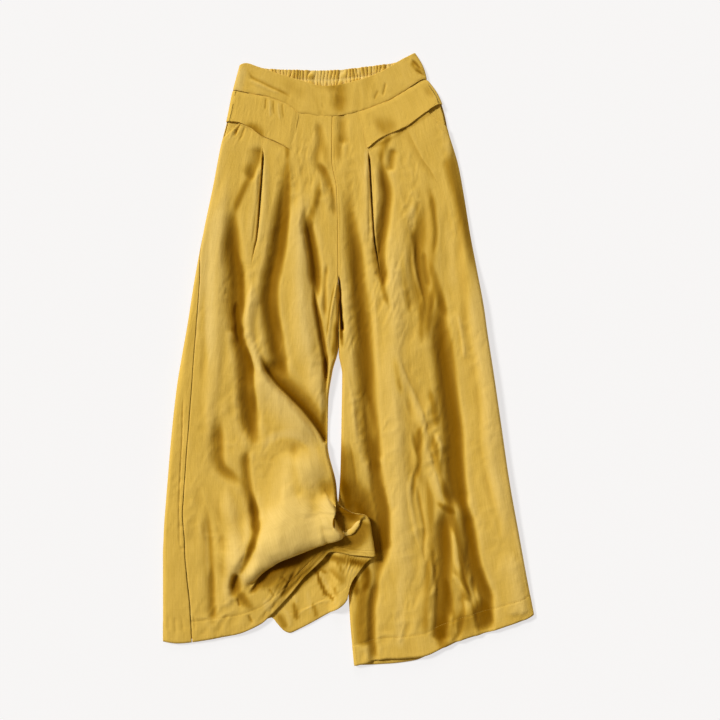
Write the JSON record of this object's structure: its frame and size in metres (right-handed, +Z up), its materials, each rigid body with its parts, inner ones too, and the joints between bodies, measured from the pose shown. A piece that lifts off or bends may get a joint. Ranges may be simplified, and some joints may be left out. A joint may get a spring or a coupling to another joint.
{
  "type": "wide-leg linen culottes laid flat",
  "caption": "High-waisted wide-leg linen culottes laid flat face up, with an elastic back waist, hip flaps, pleats and one hem rolled up over the other leg.",
  "frame": {"origin": "middle of the footprint, on the surface that the garment lies on", "axes": "+X towards the wearer's left, +Y along the legs towards the waist, +Z up from the surface, out of the garment's front"},
  "size_m": [0.6182, 1.0187, 0.0401],
  "materials": {
    "linen": "crinkled mustard-yellow linen, matt, with a fine slubbed plain weave",
    "thread": "matching mustard sewing thread"
  },
  "bodies": {
    "root": {"front_right_leg": "linen", "front_left_leg": "linen", "back_right_leg": "linen", "back_left_leg": "linen", "front_waistband": "linen", "back_waistband": "linen", "hip_flap_right": "linen", "hip_flap_left": "linen", "pocket_facing_right": "linen", "pocket_facing_left": "linen"}
  },
  "joints": []
}
